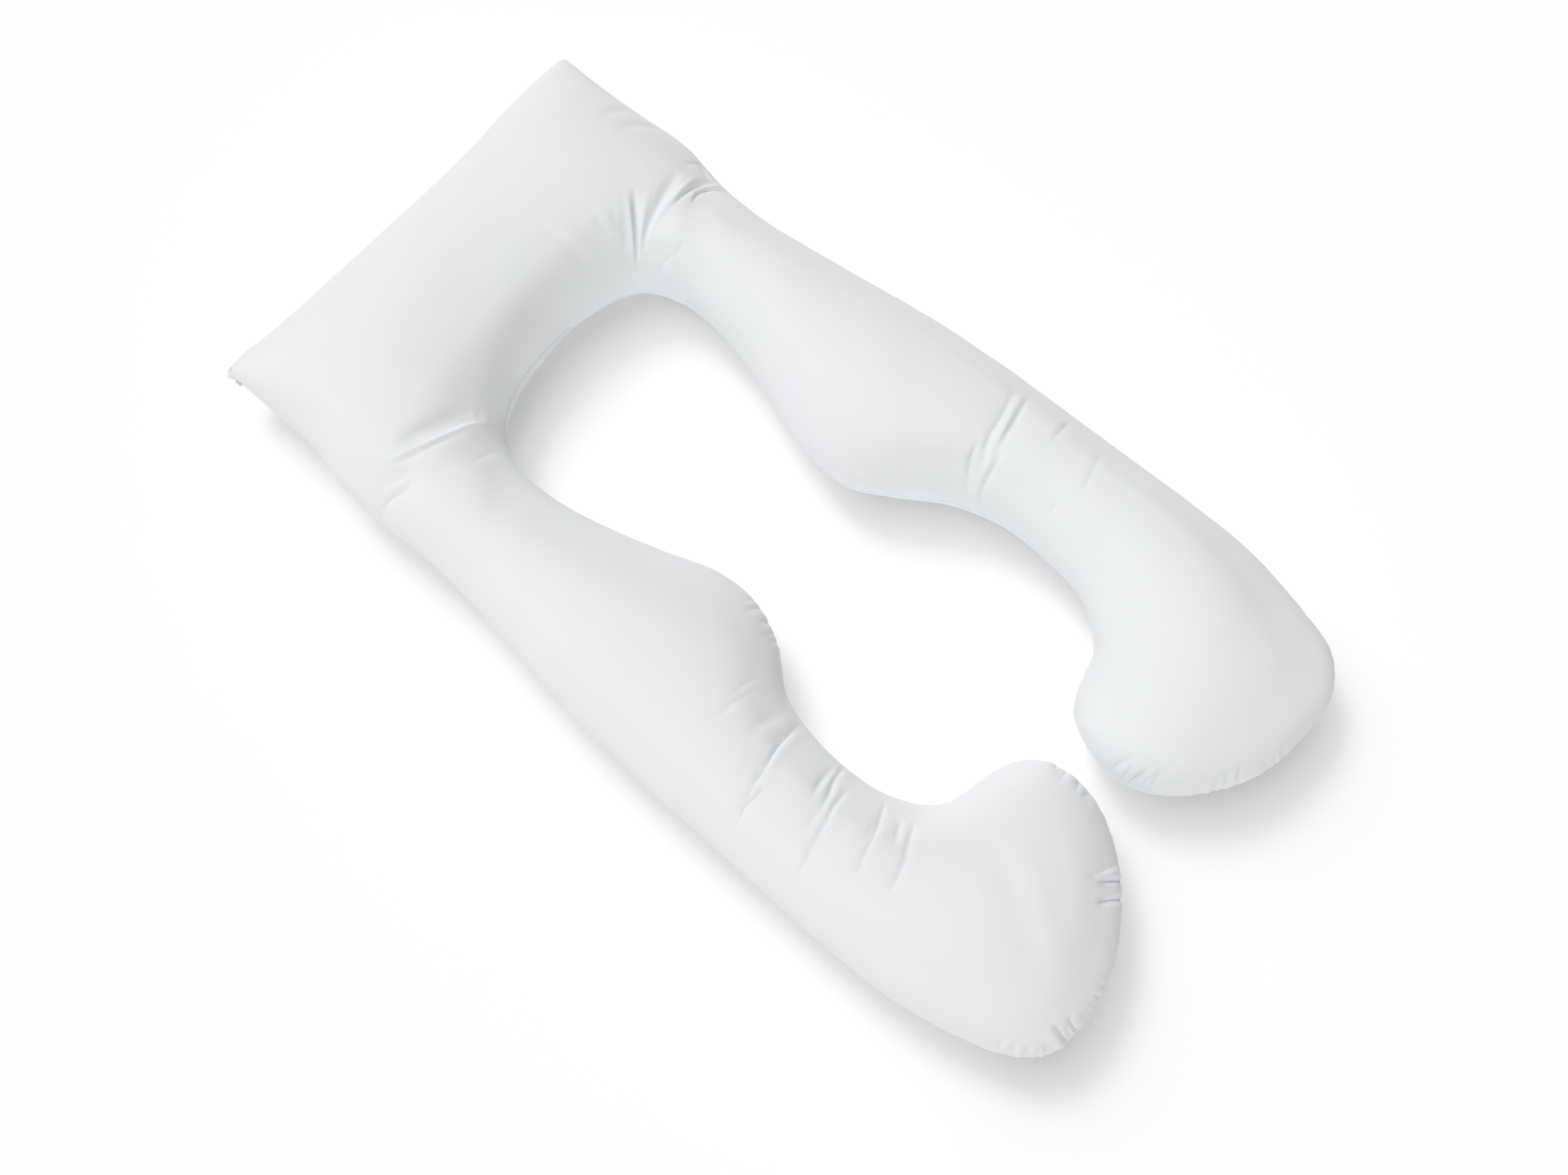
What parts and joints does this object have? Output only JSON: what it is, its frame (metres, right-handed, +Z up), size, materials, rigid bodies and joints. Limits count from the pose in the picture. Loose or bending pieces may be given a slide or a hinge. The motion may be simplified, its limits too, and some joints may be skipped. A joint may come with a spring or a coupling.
{
  "type": "u-shaped body pillow",
  "caption": "U-shaped full-body pillow with a square head and long arms that swell at the belly and end in feet hooked inwards.",
  "frame": {"origin": "on the surface the pillow lies on, under the middle of its bounding box", "axes": "+Y towards the head, +X towards the right arm, +Z up out of the upper panel"},
  "size_m": [0.7876, 1.49, 0.1789],
  "materials": {
    "white_cotton": "smooth matt white woven cover cloth",
    "zip_tape": "white woven tape"
  },
  "bodies": {
    "root": {"pillow": "white_cotton", "zip_end": "zip_tape"}
  },
  "joints": []
}
